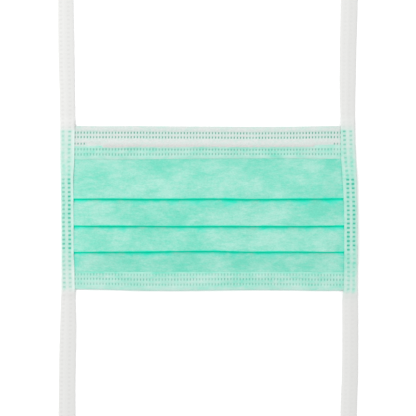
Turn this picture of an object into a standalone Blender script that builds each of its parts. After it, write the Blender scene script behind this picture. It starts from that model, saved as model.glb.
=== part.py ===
"""Pleated face mask with tie straps, lying flat with its outer side up.

X runs across the mask, Y from the chin to the nose and Z up. The origin is under the middle of the
mask, on the surface that it lies on. Lengths are in metres.
"""

import math

import bpy

# The mask's outline.
MASK_HEIGHT = 0.0967
OVERALL_WIDTH = 0.1765
EDGE_WAVE = 0.0006

# The cloth and its fit. The fused plies, the turned bands and the straps are each one wall.
CLOTH = 0.001
FOLD_GAP = 0.00025
CLEARANCE = 0.0003

# The pleats: how far below the nose edge the first one opens, their spacing and their depth.
FIRST_PLEAT = 0.0434
PLEAT_PITCH = 0.01555
PLEAT_DEPTH = 0.012
PLEAT_COUNT = 3

# The turned bands, and the welded strip along the nose edge that is pressed flat.
TOP_BAND = 0.0193
BOTTOM_BAND = 0.0105
WELDED_STRIP = 0.0075
WELDED_THICKNESS = 0.002
BAND_ROUND = 0.0006

# The nose wire.
WIRE_LENGTH = 0.124
WIRE_WIDTH = 0.0035
WIRE_THICKNESS = 0.001
WIRE_ROUND = 0.0003

# The straps: each is folded over one side of the mask and runs on past its corners.
TIE_END = 0.0797
TIE_WIDTH = 0.0095
TIE_THICKNESS = 0.0012
TIE_SWAY = 0.0022
TIE_FOLD_WALL = 0.0012
TIE_ROUND = 0.0012
TIE_SLOPE = 0.008
SLOT_END_ROOM = 0.0008

# The side margins, which the straps press: the thickness kept, and the run back to full height.
SIDE_PRESS = 0.45
PRESS_LIP = 0.0006
PRESS_RAMP = 0.012

# Facets.
ARC_STEPS = 5
CURVE_STEPS = 6
CORNER_STEPS = 3
MIDDLE_STEPS = 6
RAMP_STEPS = 4
TIE_STEP = 0.0064

# Colours and finish: red, green, blue and roughness.
GREEN_CLOTH = (0.31, 0.80, 0.60, 0.85)
PALE_GREEN_CLOTH = (0.52, 0.80, 0.69, 0.85)
WHITE_CLOTH = (0.78, 0.82, 0.80, 0.85)
STRAP_CLOTH = (0.80, 0.80, 0.78, 0.85)
WIRE_COATING = (0.80, 0.79, 0.78, 0.50)

# Each strap's outer edge and width. The run is 0 at the mask's middle, 1 and -1 at its nose and chin
# edges, and 2 and -2 at the strap's ends. The sway is how far the edge lies inside the overall
# width, as a share of TIE_SWAY, and the width is a share of TIE_WIDTH.
LEFT_TIE = [
    {"run": -2.00, "sway": 0.07, "width": 1.05},
    {"run": -1.69, "sway": 0.20, "width": 1.03},
    {"run": -1.47, "sway": 0.34, "width": 1.03},
    {"run": -1.25, "sway": 0.52, "width": 1.00},
    {"run": -1.10, "sway": 0.66, "width": 0.96},
    {"run": -0.97, "sway": 0.80, "width": 0.83},
    {"run": -0.52, "sway": 0.80, "width": 0.78},
    {"run": 0.00, "sway": 0.74, "width": 0.79},
    {"run": 0.33, "sway": 0.66, "width": 0.82},
    {"run": 0.58, "sway": 0.61, "width": 0.92},
    {"run": 1.00, "sway": 0.55, "width": 0.95},
    {"run": 1.20, "sway": 0.48, "width": 0.95},
    {"run": 1.56, "sway": 0.20, "width": 0.98},
    {"run": 2.00, "sway": 0.00, "width": 0.96},
]
RIGHT_TIE = [
    {"run": -2.00, "sway": 0.52, "width": 1.01},
    {"run": -1.84, "sway": 0.43, "width": 1.02},
    {"run": -1.62, "sway": 0.16, "width": 1.02},
    {"run": -1.40, "sway": 0.11, "width": 1.01},
    {"run": -1.08, "sway": 0.11, "width": 1.00},
    {"run": -0.95, "sway": 0.11, "width": 0.88},
    {"run": -0.52, "sway": 0.00, "width": 0.90},
    {"run": -0.21, "sway": 0.00, "width": 0.90},
    {"run": 0.10, "sway": 0.09, "width": 0.90},
    {"run": 0.31, "sway": 0.16, "width": 0.94},
    {"run": 0.58, "sway": 0.43, "width": 0.95},
    {"run": 0.81, "sway": 0.66, "width": 0.93},
    {"run": 1.00, "sway": 0.93, "width": 0.90},
    {"run": 1.20, "sway": 0.95, "width": 0.95},
    {"run": 1.34, "sway": 0.80, "width": 1.00},
    {"run": 1.56, "sway": 0.61, "width": 1.02},
    {"run": 2.00, "sway": 0.16, "width": 1.03},
]

# How far each line that crosses the mask strays from straight, as shares of EDGE_WAVE. The place is
# a share of half the overall width.
WAVES = [
    {"place": -0.90, "nose": 0.3, "pleats": (0.0, -0.3, -0.5), "chin": 0.6},
    {"place": -0.70, "nose": 0.0, "pleats": (0.0, -0.3, 0.2), "chin": 0.4},
    {"place": -0.47, "nose": 0.1, "pleats": (-0.1, -0.2, 0.3), "chin": -0.3},
    {"place": -0.25, "nose": -0.1, "pleats": (-0.2, -0.3, 0.8), "chin": -0.6},
    {"place": 0.01, "nose": -0.3, "pleats": (0.0, -0.2, 1.0), "chin": -0.3},
    {"place": 0.28, "nose": -0.6, "pleats": (0.1, -0.2, 0.7), "chin": 0.0},
    {"place": 0.55, "nose": -0.4, "pleats": (0.3, -0.5, 0.1), "chin": -0.1},
    {"place": 0.82, "nose": 0.1, "pleats": (0.6, -0.8, -0.5), "chin": -0.8},
]

# Heights that follow: the band's two walls with the body between them, and the fold circles.
BODY_BOTTOM = CLOTH + CLEARANCE
BODY_MIDDLE = BODY_BOTTOM + CLOTH / 2
BAND_INSIDE = BODY_BOTTOM + CLOTH + CLEARANCE
BAND_TOP = BAND_INSIDE + CLOTH
FOLD_RADIUS = (CLOTH + FOLD_GAP) / 2
FOLD_OUTSIDE = FOLD_RADIUS + CLOTH / 2
NOSE_EDGE = MASK_HEIGHT / 2
CHIN_EDGE = -MASK_HEIGHT / 2
HALF_WIDTH = OVERALL_WIDTH / 2
WIRE_TOP = NOSE_EDGE - WELDED_STRIP - 2 * CLOTH - CLEARANCE


def clear_scene():
    for thing in list(bpy.data.objects):
        bpy.data.objects.remove(thing, do_unlink=True)


def ease(share):
    """A smooth step from 0 to 1."""
    held = min(1.0, max(0.0, share))
    return held * held * (3 - 2 * held)


def read_rows(rows, key, place, column):
    """A smooth value between the rows of a table, which never overshoots them."""
    places = [row[key] for row in rows]
    values = [column(row) for row in rows]
    if place <= places[0]:
        return values[0]
    if place >= places[-1]:
        return values[-1]
    slopes = [(b - a) / (q - p) for a, b, p, q in zip(values, values[1:], places, places[1:])]
    tangents = [0.0]
    for before, after in zip(slopes, slopes[1:]):
        tangents.append(2 * before * after / (before + after) if before * after > 0 else 0.0)
    tangents.append(0.0)
    row = max(index for index in range(len(rows) - 1) if places[index] <= place)
    span = places[row + 1] - places[row]
    t = (place - places[row]) / span
    bend = (t**3 - 2 * t**2 + t) * tangents[row] + (t**3 - t**2) * tangents[row + 1]
    return values[row] + (values[row + 1] - values[row]) * ease(t) + bend * span


def pleat_lines():
    """The Y of each visible fold, from the nose down."""
    return [NOSE_EDGE - FIRST_PLEAT - PLEAT_PITCH * pleat for pleat in range(PLEAT_COUNT)]


def tie_run(y):
    """Where a Y lies along a strap, in the tables' runs."""
    if abs(y) <= NOSE_EDGE:
        return y / NOSE_EDGE
    return math.copysign(1 + (abs(y) - NOSE_EDGE) / TIE_END, y)


def tie_edges(side, y):
    """The X of a strap's outer and inner edge. The side is -1 on the left and 1 on the right."""
    rows = LEFT_TIE if side < 0 else RIGHT_TIE
    run = tie_run(y)
    outer = HALF_WIDTH - TIE_SWAY * read_rows(rows, "run", run, lambda row: row["sway"])
    inner = outer - TIE_WIDTH * read_rows(rows, "run", run, lambda row: row["width"])
    return side * outer, side * inner


def wave(x, y):
    """How far the cloth at a place is shifted in Y by the slightly crooked edges and folds."""
    lines = [NOSE_EDGE, *pleat_lines(), CHIN_EDGE]
    place = x / HALF_WIDTH
    shifts = [read_rows(WAVES, "place", place, lambda row: row["nose"])]
    for pleat in range(PLEAT_COUNT):
        column = min(pleat, len(WAVES[0]["pleats"]) - 1)
        shifts.append(read_rows(WAVES, "place", place, lambda row: row["pleats"][column]))
    shifts.append(read_rows(WAVES, "place", place, lambda row: row["chin"]))
    if y >= lines[0]:
        return EDGE_WAVE * shifts[0]
    for above, below, first, last in zip(lines, lines[1:], shifts, shifts[1:]):
        if y >= below:
            return EDGE_WAVE * (first + (last - first) * (above - y) / (above - below))
    return EDGE_WAVE * shifts[-1]


def across(station, y):
    """The X of a station at a Y.

    The stations run from -3 at the body's left edge, over -2 just inside the left strap and -1 where
    the cloth is at full height, to 1, 2 and 3 on the right.
    """
    marks = []
    for side in (-1, 1):
        outer, inner = tie_edges(side, y)
        edge = outer - side * (TIE_FOLD_WALL + CLEARANCE)
        lip = inner - side * PRESS_LIP
        full = lip - side * PRESS_RAMP
        marks.extend([edge, lip, full] if side < 0 else [full, lip, edge])
    places = (-3, -2, -1, 1, 2, 3)
    for low, high, first, last in zip(places, places[1:], marks, marks[1:]):
        if station <= high:
            return first + (last - first) * (station - low) / (high - low)
    return marks[-1]


def stations():
    """The sections that the cloth is lofted through, from left to right."""
    ramp = [2 - step / RAMP_STEPS for step in range(RAMP_STEPS)]
    middle = [-1 + 2 * step / MIDDLE_STEPS for step in range(MIDDLE_STEPS + 1)]
    return [-3, *(-place for place in ramp), *middle, *reversed(ramp), 3]


def placed(station, y, z):
    """A point of a flat cross-section, set on a station: wavy, and pressed where a strap holds it."""
    pressed = ease(abs(station) - 1)
    scale = 1 + (SIDE_PRESS - 1) * pressed
    x = across(station, y)
    return (x, y + wave(x, y), BODY_BOTTOM * pressed + scale * z)


def make_material(name, finish):
    red, green, blue, roughness = finish
    material = bpy.data.materials.new(name)
    material.use_nodes = True
    shader = material.node_tree.nodes["Principled BSDF"]
    shader.inputs["Base Color"].default_value = (red, green, blue, 1)
    shader.inputs["Roughness"].default_value = roughness
    shader.inputs["Metallic"].default_value = 0.0
    material.diffuse_color = (red, green, blue, 1)
    return material


def add_solid(name, points, faces, material):
    mesh = bpy.data.meshes.new(name)
    mesh.from_pydata(points, [], faces)
    mesh.validate()
    mesh.materials.append(material)
    mesh.shade_smooth()
    mesh.set_sharp_from_angle(angle=math.radians(40))
    solid = bpy.data.objects.new(name, mesh)
    bpy.context.scene.collection.objects.link(solid)
    return solid


def loft_wall(name, outside, inside, where, place, material):
    """A bent wall: paired points of its two faces in a cross-section, set on each station in turn."""
    ring = outside + inside[::-1]
    count = len(ring)
    points = [place(station, y, z) for station in where for y, z in ring]
    faces = []
    for section in range(len(where) - 1):
        start = section * count
        for step in range(count):
            after = (step + 1) % count
            faces.append((start + step, start + after, start + count + after, start + count + step))
    last = (len(where) - 1) * count
    for step in range(len(outside) - 1):
        cap = (step, count - 1 - step, count - 2 - step, step + 1)
        faces.append(cap)
        faces.append(tuple(last + corner for corner in reversed(cap)))
    return add_solid(name, points, faces, material)


def loft_bar(name, sections, material):
    """A bar through closed sections with the same number of points, convex in their own plane."""
    count = len(sections[0])
    points = [point for section in sections for point in section]
    faces = []
    for section in range(len(sections) - 1):
        start = section * count
        for step in range(count):
            after = (step + 1) % count
            faces.append((start + step, start + after, start + count + after, start + count + step))
    last = (len(sections) - 1) * count
    faces.append(tuple(reversed(range(count))))
    faces.append(tuple(range(last, last + count)))
    return add_solid(name, points, faces, material)


def corner(centre_y, centre_z, radius, start, turn, steps):
    """Points of an arc in the Y-Z plane, from a start angle through a turn, both in radians."""
    angles = [start + turn * step / steps for step in range(steps + 1)]
    return [(centre_y + radius * math.cos(a), centre_z + radius * math.sin(a)) for a in angles]


def fold_slope():
    """The slope at which the pleats' layers lie on each other, all at the same spacing."""
    slope = 4 * FOLD_RADIUS / PLEAT_PITCH
    for _ in range(8):
        rise = math.sin(math.atan(slope))
        slope = 4 * FOLD_RADIUS / (PLEAT_PITCH - 4 * FOLD_RADIUS * rise)
    return math.atan(slope)


def fold_height(slope):
    """The height of a visible fold's circle over the hidden one's."""
    rise = math.sin(slope)
    run_back = PLEAT_DEPTH - 2 * FOLD_OUTSIDE + 2 * FOLD_RADIUS * rise
    return 2 * FOLD_RADIUS * math.cos(slope) + run_back * math.tan(slope)


def pleat_stack():
    """The height of the pleats above the surface that the mask lies on."""
    return 2 * FOLD_OUTSIDE + fold_height(fold_slope())


def curve_between(start, start_slope, end, end_slope, steps):
    """A cubic from one Y-Z point to another: rows of its point and its unit normal, facing up."""
    span = end[0] - start[0]
    rows = []
    for step in range(steps + 1):
        t = step / steps
        lead = (t**3 - 2 * t**2 + t) * span * start_slope + (t**3 - t**2) * span * end_slope
        z = start[1] + (end[1] - start[1]) * t * t * (3 - 2 * t) + lead
        bend = (3 * t**2 - 4 * t + 1) * start_slope + (3 * t**2 - 2 * t) * end_slope
        grade = (end[1] - start[1]) / span * 6 * t * (1 - t) + bend
        size = math.hypot(1, grade)
        rows.append(((start[0] + span * t, z), (-grade / size, 1 / size)))
    return rows


def turn_rows(centre, start, turn, facing):
    """A fold: rows of points on its circle with their normals, which face out of it or into it."""
    rows = []
    for step in range(ARC_STEPS + 1):
        angle = start + turn * step / ARC_STEPS
        aim = (math.cos(angle), math.sin(angle))
        spot = (centre[0] + FOLD_RADIUS * aim[0], centre[1] + FOLD_RADIUS * aim[1])
        rows.append((spot, (facing * aim[0], facing * aim[1])))
    return rows


def panel_path():
    """The body's middle line in the Y-Z plane from the nose down, as points with their normals."""
    slope = fold_slope()
    flat = (0.0, 1.0)
    nose_end = WIRE_TOP - WIRE_WIDTH - CLEARANCE
    chin_end = CHIN_EDGE + CLOTH + CLEARANCE
    nose_seam = NOSE_EDGE - TOP_BAND
    chin_seam = CHIN_EDGE + BOTTOM_BAND
    top_of_turn = math.pi / 2 - slope
    height = FOLD_OUTSIDE + fold_height(slope)
    rows = [((nose_end, BODY_MIDDLE), flat)]
    for pleat, line in enumerate(pleat_lines()):
        visible = (line + FOLD_OUTSIDE, height)
        hidden = (line + PLEAT_DEPTH - FOLD_OUTSIDE, FOLD_OUTSIDE)
        fold = turn_rows(visible, top_of_turn, math.pi, 1)
        if pleat == 0:
            rise = curve_between((nose_seam, BODY_MIDDLE), 0, fold[0][0], -math.tan(slope), CURVE_STEPS)
            rows += rise[:-1]
        rows += fold
        rows += turn_rows(hidden, top_of_turn, -math.pi, -1)
    line_end = pleat_lines()[-1]
    left = rows[-1][0]
    under = (line_end, left[1] + (left[0] - line_end) * math.tan(slope))
    fall = curve_between(under, -math.tan(slope), (chin_seam, BODY_MIDDLE), 0, CURVE_STEPS)
    return rows + fall + [((chin_end, BODY_MIDDLE), flat)]


def make_panel():
    rows = panel_path()
    half = CLOTH / 2
    front = [(spot[0] + aim[0] * half, spot[1] + aim[1] * half) for spot, aim in rows]
    back = [(spot[0] - aim[0] * half, spot[1] - aim[1] * half) for spot, aim in rows]
    cloth = make_material("green_cloth", GREEN_CLOTH)
    return loft_wall("pleated_panel", front, back, stations(), placed, cloth)


def make_top_band():
    """Two walls that hold the body's edge and the wire, pressed into one along the nose edge."""
    seam = NOSE_EDGE - TOP_BAND
    pocket = WIRE_TOP + CLEARANCE
    strip = NOSE_EDGE - WELDED_STRIP
    quarter = math.pi / 2
    outside = [(seam, BAND_TOP), (pocket, BAND_TOP), (strip, WELDED_THICKNESS)]
    outside += corner(NOSE_EDGE - BAND_ROUND, WELDED_THICKNESS - BAND_ROUND, BAND_ROUND,
                      quarter, -quarter, CORNER_STEPS)
    outside += corner(NOSE_EDGE - BAND_ROUND, BAND_ROUND, BAND_ROUND, 0, -quarter, CORNER_STEPS)
    outside += [(pocket, 0), (seam, 0)]
    turns = len(outside) - 4
    inside = [(seam, BAND_INSIDE), (pocket, BAND_INSIDE)]
    for step in range(1, turns + 1):
        inside.append((pocket, BAND_INSIDE + (CLOTH - BAND_INSIDE) * step / (turns + 1)))
    inside += [(pocket, CLOTH), (seam, CLOTH)]
    cloth = make_material("white_cloth", WHITE_CLOTH)
    return loft_wall("top_band", outside[::-1], inside[::-1], stations(), placed, cloth)


def make_bottom_band():
    """One wall turned round the body's chin edge."""
    seam = CHIN_EDGE + BOTTOM_BAND
    pocket = CHIN_EDGE + CLOTH
    quarter = math.pi / 2
    outside = [(seam, BAND_TOP)]
    outside += corner(CHIN_EDGE + BAND_ROUND, BAND_TOP - BAND_ROUND, BAND_ROUND,
                      quarter, quarter, CORNER_STEPS)
    outside += corner(CHIN_EDGE + BAND_ROUND, BAND_ROUND, BAND_ROUND, math.pi, quarter, CORNER_STEPS)
    outside += [(seam, 0)]
    turns = len(outside) - 2
    inside = [(seam, BAND_INSIDE)]
    for step in range(turns):
        inside.append((pocket, BAND_INSIDE + (CLOTH - BAND_INSIDE) * step / (turns - 1)))
    inside += [(seam, CLOTH)]
    cloth = make_material("pale_green_cloth", PALE_GREEN_CLOTH)
    return loft_wall("bottom_band", outside, inside, stations(), placed, cloth)


def make_wire():
    """A flat bar with rounded corners, which follows the band's slight wave."""
    half = WIRE_LENGTH / 2
    steps = 2 * MIDDLE_STEPS
    low_y = WIRE_TOP - WIRE_WIDTH
    base = BODY_BOTTOM
    turn = math.pi / 2
    ring = []
    for index, (y, z) in enumerate(
        [
            (WIRE_TOP - WIRE_ROUND, base + WIRE_THICKNESS - WIRE_ROUND),
            (low_y + WIRE_ROUND, base + WIRE_THICKNESS - WIRE_ROUND),
            (low_y + WIRE_ROUND, base + WIRE_ROUND),
            (WIRE_TOP - WIRE_ROUND, base + WIRE_ROUND),
        ]
    ):
        ring += corner(y, z, WIRE_ROUND, turn * index, turn, 2)
    places = [-half + WIRE_LENGTH * step / steps for step in range(steps + 1)]
    sections = [[(x, y + wave(x, y), z) for y, z in ring] for x in places]
    coating = make_material("wire_coating", WIRE_COATING)
    return loft_bar("nose_wire", sections, coating)


def held_height(y):
    """The top of what a strap holds at a Y, in the pressed margin."""
    band = BAND_TOP
    nose_side = ease((NOSE_EDGE - TOP_BAND - y) / (FIRST_PLEAT - TOP_BAND - PLEAT_DEPTH))
    last_line = pleat_lines()[-1]
    chin_side = ease((y - CHIN_EDGE - BOTTOM_BAND) / (last_line - CHIN_EDGE - BOTTOM_BAND))
    raised = min(nose_side, chin_side)
    return BODY_BOTTOM + SIDE_PRESS * (band + (pleat_stack() - band) * raised)


def slot_top(y):
    return held_height(y) + CLEARANCE


def slot_end():
    return NOSE_EDGE + SLOT_END_ROOM


def tie_top(y):
    """The top of a strap: over the slot along the mask, and down to the free strip past it."""
    past = (abs(y) - slot_end() - CLOTH) / TIE_SLOPE
    held = slot_top(y) + CLOTH
    return held + (TIE_THICKNESS - held) * ease(past)


def spaced(length, step):
    """Places from -length to length, evenly, about a step apart."""
    count = 2 * max(1, round(length / step))
    return [-length + 2 * length * place / count for place in range(count + 1)]


def tie_section(side, y):
    """A strap's outline at a Y: flat below, with a round folded edge on the outside."""
    outer, inner = tie_edges(side, y)
    top = tie_top(y)
    round_top = min(TIE_ROUND, 0.4 * top)
    round_base = min(TIE_ROUND / 2, 0.25 * top)
    turn = math.pi / 2
    width = abs(outer - inner)
    ring = [(0, 0)]
    ring += corner(width - round_base, round_base, round_base, -turn, turn, CORNER_STEPS)
    ring += corner(width - round_top, top - round_top, round_top, 0, turn, CORNER_STEPS)
    ring += corner(round_base, top - round_base, round_base, turn, turn, 2)
    section = [(inner + side * distance, y, z) for distance, z in ring]
    return section[::-1] if side > 0 else section


def slot_section(side, y):
    outer, inner = tie_edges(side, y)
    deep = outer - side * TIE_FOLD_WALL
    mouth = inner - side * TIE_WIDTH
    section = [(mouth, y, CLOTH), (deep, y, CLOTH), (deep, y, slot_top(y)), (mouth, y, slot_top(y))]
    return section[::-1] if side > 0 else section


def make_tie(name, side, material):
    """A strap with the slot along its inner edge that the side of the mask sits in."""
    length = NOSE_EDGE + TIE_END
    strap = loft_bar(name, [tie_section(side, y) for y in spaced(length, TIE_STEP)], material)
    places = spaced(slot_end(), TIE_STEP)
    cutter = loft_bar(name + "_slot", [slot_section(side, y) for y in places], material)
    cutter.hide_render = True
    cutter.display_type = "WIRE"
    slot = strap.modifiers.new("slot", "BOOLEAN")
    slot.operation = "DIFFERENCE"
    slot.solver = "EXACT"
    slot.object = cutter
    return strap


def main():
    clear_scene()
    make_panel()
    make_top_band()
    make_bottom_band()
    make_wire()
    strap_cloth = make_material("strap_cloth", STRAP_CLOTH)
    make_tie("tie_left", -1, strap_cloth)
    make_tie("tie_right", 1, strap_cloth)


main()
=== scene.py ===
"""The looks of the pleated face mask: thin non-woven cloth with welded bands, pleats and tie straps.

The mask lies flat on a white table, seen from straight above, with its nose edge towards +Y.
"""

import math

import bpy
import numpy as np
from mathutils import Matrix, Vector, noise


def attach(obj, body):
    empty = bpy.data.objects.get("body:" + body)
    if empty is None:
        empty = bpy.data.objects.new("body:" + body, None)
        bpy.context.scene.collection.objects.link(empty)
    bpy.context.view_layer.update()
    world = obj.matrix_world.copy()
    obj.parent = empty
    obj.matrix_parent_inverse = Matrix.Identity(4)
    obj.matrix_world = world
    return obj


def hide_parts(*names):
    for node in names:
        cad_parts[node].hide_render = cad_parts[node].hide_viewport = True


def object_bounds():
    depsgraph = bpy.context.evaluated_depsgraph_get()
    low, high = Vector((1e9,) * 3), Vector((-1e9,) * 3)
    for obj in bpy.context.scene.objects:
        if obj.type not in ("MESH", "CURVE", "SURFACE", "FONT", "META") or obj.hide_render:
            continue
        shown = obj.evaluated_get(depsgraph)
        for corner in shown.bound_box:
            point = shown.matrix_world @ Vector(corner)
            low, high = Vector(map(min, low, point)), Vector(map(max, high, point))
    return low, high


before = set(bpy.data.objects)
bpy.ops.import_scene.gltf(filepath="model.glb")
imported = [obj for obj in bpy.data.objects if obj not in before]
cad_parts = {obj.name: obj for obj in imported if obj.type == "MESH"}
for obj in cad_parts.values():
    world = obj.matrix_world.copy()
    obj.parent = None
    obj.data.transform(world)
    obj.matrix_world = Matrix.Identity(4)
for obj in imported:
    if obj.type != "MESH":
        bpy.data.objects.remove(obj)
cad_low, cad_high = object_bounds()

MM = 0.001

# The mask's outline and pleats, as in the solids.
NOSE_EDGE = 48.35 * MM
CHIN_EDGE = -NOSE_EDGE
EDGE_WAVE = 0.6 * MM
FIRST_PLEAT = 43.4 * MM
PLEAT_PITCH = 15.55 * MM
PLEAT_DEPTH = 12 * MM
PLEAT_COUNT = 3
TOP_BAND = 19.3 * MM
BOTTOM_BAND = 10.5 * MM
TIE_WIDTH = 9.5 * MM
TIE_SWAY = 2.2 * MM
HALF_WIDTH, STRAP_END = cad_high[0], cad_high[1]
TIE_END = STRAP_END - NOSE_EDGE
PLEAT_LINES = [NOSE_EDGE - FIRST_PLEAT - PLEAT_PITCH * pleat for pleat in range(PLEAT_COUNT)]
WAVE_LINES = [NOSE_EDGE, *PLEAT_LINES, CHIN_EDGE]

# The cloth's thicknesses, the spring and the air that keep layers apart, and the folds' radii.
BODY_CLOTH = 0.45 * MM
BAND_CLOTH = 0.22 * MM
BAND_STEP = 0.12 * MM
STRAP_CLOTH = 0.26 * MM
FOLD_SPRING = 0.45 * MM
AIR = 0.06 * MM
SHARP_ANGLE = math.radians(55)
FOLD_RADIUS = (BODY_CLOTH + FOLD_SPRING) / 2
FOLD_OUTSIDE = FOLD_RADIUS + BODY_CLOTH / 2
BODY_IN_BAND = BAND_CLOTH + AIR + BODY_CLOTH / 2

# The slight waves of lying cloth: shares of its height, and the size of their patches.
PUFF, PUFF_SIZE = 0.1, 38 * MM
CRUMPLING, CRUMPLING_SIZE = 0.05, 9 * MM

# Noise over the cloth: how each finer layer weakens and shrinks.
CLOUD_DECAY, CLOUD_STEP = 0.7, 2.0

# The side margins, which the straps press.
MARGIN = 1 * MM
SIDE_PRESS = 0.42
CLOTH_PRESS = 0.33
PRESS_LIP = 0.5 * MM
PRESS_RAMP = 12 * MM

# The nose wire.
WIRE_LENGTH = 124 * MM
WIRE_WIDTH = 3.5 * MM
WIRE_THICKNESS = 0.7 * MM
WIRE_FROM_EDGE = 9.8 * MM
WIRE_ROUND = 0.35 * WIRE_THICKNESS
WIRE_CORNER_STEPS, WIRE_SECTIONS = 5, 60

# The straps' inset from the solids' outline, how far their inner edges sag and sink, and how much
# thinner cut edges are.
STRAP_INSET = 0.2 * MM
EDGE_SAG = 0.19 * MM
EDGE_SINK = 0.6 * MM
EDGE_THIN = 0.78

# Weld marks: dashes along the bands and dots along the straps.
EDGE_INSET = 0.35 * MM
DASH_WIDTH = 0.74 * MM
DASH_LENGTH = 1.3 * MM
DASH_DEPTH = 0.12 * MM
UNDER_THIN = 0.5
UNDER_WELD = 0.16
TOP_PITCH = 1.835 * MM
BOTTOM_PITCH = 1.829 * MM
TOP_FIRST = -78.4 * MM
BOTTOM_FIRST = -78.31 * MM
DASH_COUNT = 87
SHORT_ROW_FROM = 72.4 * MM
DOT_WIDTH = 1.6 * MM
DOT_LENGTH = 1.15 * MM
DOT_DEPTH = 0.12 * MM
DOT_SOFT, DOT_SIDE_SOFT = 0.3 * MM, 0.36 * MM

# A strap's grid: places along and across its dots, the columns after its bend, the bend, the lower
# wall's inset, and the last places by the inner edge: shares of the way, the sag and the sink.
DOT_ALONG = MM * np.array([-0.92, -0.62, -0.32, 0.32, 0.62, 0.92])
DOT_ACROSS = MM * np.array([-1, -0.72, -0.4, 0, 0.4, 0.72, 1])
FIRST_COLUMN, COLUMN_STEP = 0.12 * MM, 0.13 * MM
BEND_REACH, BEND_PLACES, BEND_SOFT = 0.6 * MM, 9, 0.45 * MM
LOWER_INSET = 0.35 * MM
EDGE_SPOTS = [(0.3, 0, 0.15), (0.6, 0, 0.5), (0.85, 0.3, 0.85), (1, 1, 1)]

# The straps' shape: their room over the bands and pleats, how soon their inner edges sink below the
# band and below a fold, how they settle past the corners, and their puff and ripple there.
HOLD_ROOM, HOLD_SPARE = 0.1 * MM, 1.02
SINK_UNDER_BAND, SINK_UNDER_FOLD = 0.4, 0.18
SETTLE_FROM, SETTLE_RAMP = 5.7 * MM, 5 * MM
STRAP_PUFF, PUFF_HALF, PUFF_SOFT = 0.1 * MM, 0.9 * MM, 1.4 * MM
RIPPLE, RIPPLE_SIZE = 0.06 * MM, 22 * MM
FREE_DOT = 0.3
THIN_WIDTH = 0.8 * MM

# The straps' looks: the green at which they are fully over the mask, its patches, the stripes along
# the dots, the fades at both edges and the shade across.
FULL_COVER = 0.2
PATCH_SIZE, PATCH_GREEN, PATCH_WELD = 6 * MM, 0.1, 0.3
STRIPE_HALF, STRIPE_GREEN, STRIPE_WELD = 1.05 * MM, 0.13, 0.09
INSIDE_FADE, OUTSIDE_FADE = 1.8 * MM, 1.2 * MM
SHADE_ACROSS, SHADE_OVER = 0.6, 0.8
# Left and right: less green at the inner and outer edge, shade below the middle and all over, the
# dots' grey and the pale inner edge, which is painted light.
STRAP_LOOKS = {
    -1: {"inside": 0.13, "outside": 0.1, "below": 0.15, "all": 0.0, "dip": 0.2, "pale": 0.55},
    1: {"inside": -0.2, "outside": 0.15, "below": 0.07, "all": 0.18, "dip": 0.1, "pale": 0.0},
}

# The photograph's frame, in the plane of the table.
VIEW_WIDTH = 244.3 * MM
VIEW_SHIFT = -0.29 * MM
CAMERA_HEIGHT, VIEW_DEPTH = 1.2, 20
SENSOR = 36.0

# Each strap's outer edge and width, close to the solids: the run is 1 at the mask's nose edge and 2 at
# the strap's end, the sway is a share of TIE_SWAY and the width a share of TIE_WIDTH, all
# in hundredths.
LEFT_TIE = {
    "run": [-200, -169, -147, -125, -110, -97, -75, -52, 0, 33, 58, 100, 120, 156, 200],
    "sway": [5, 15, 26, 49, 65, 83, 85, 87, 77, 66, 54, 48, 36, -2, -9],
    "width": [105, 103, 103, 100, 93, 86, 83.5, 78.5, 80, 80.5, 89.5, 94, 95.5, 100.5, 95.5],
}
RIGHT_TIE = {
    "run": [-200, -184, -162, -140, -108, -95, -52, -21, 10, 31, 58, 81, 100, 120, 134, 156, 200],
    "sway": [60, 50, 23, 18, 25, 34, 31, 32, 39, 47, 73, 95, 103, 97, 85, 70, 31],
    "width": [101, 101, 100, 99, 98, 86, 86, 86, 88, 92, 94, 93, 90, 96, 100, 102, 106],
}
# The dots on the left and on the right: the place of one dot and the pitch.
DOT_FIRST = {-1: -0.79 * MM, 1: -1.38 * MM}
DOT_PITCH = {-1: 2.529 * MM, 1: 2.575 * MM}

# Down each strap, at a Y in millimetres: how much green shows through it, how dark the outer and the
# inner column of dots are, and the columns' distances from the outer edge in millimetres, in hundredths.
SHOW_PLACES = [-60, -50.5, -48.8, -46.9, -40.5, -30.5, -25.6, -23.9, -18.8, -7.0, 4.7, 16.2, 17.8, 23.5,
        33.0, 39.9, 45.0, 46.4, 50.0, 60]
LEFT_SHOW = {
    "green": [0, 0, 5, 20, 22, 33, 36, 41, 42, 42, 42, 42, 40, 39, 31, 24, 22, 4.5, 0, 0],
    "outer": [0, 0, 0, 30, 36, 23, 23, 72, 72, 58, 54, 52, 13, 10, 10, 20, 20, 3, 0, 0],
    "inner": [0, 0, 0, 30, 32, 45, 45, 83, 83, 84, 84, 86, 35, 25, 30, 50, 48, 6, 0, 0],
    "outer_at": [150, 160, 160, 162, 158, 135, 132, 132, 134, 136, 150,
        148, 150, 165, 168, 166, 166, 166, 162, 160],
    "inner_at": [600, 560, 530, 515, 510, 480, 483, 483, 481, 474, 482,
        491, 493, 500, 515, 545, 555, 560, 580, 600],
}
RIGHT_SHOW = {
    "green": [0, 5, 26, 29, 35, 49, 47, 45, 45, 45, 46, 46, 47, 48, 36, 26, 24, 11, 2, 0],
    "outer": [0, 0, 20, 22, 20, 28, 30, 78, 78, 90, 78, 120, 20, 20, 20, 40, 38, 5, 0, 0],
    "inner": [0, 0, 30, 36, 36, 49, 50, 170, 170, 115, 80, 100, 42, 38, 43, 60, 60, 10, 0, 0],
    "outer_at": [310, 260, 230, 210, 210, 185, 195, 200, 210, 195, 210,
        240, 245, 255, 260, 235, 235, 240, 270, 310],
    "inner_at": [660, 600, 550, 520, 520, 530, 534, 538, 538, 530, 540,
        530, 540, 580, 610, 613, 615, 620, 640, 660],
}

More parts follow.
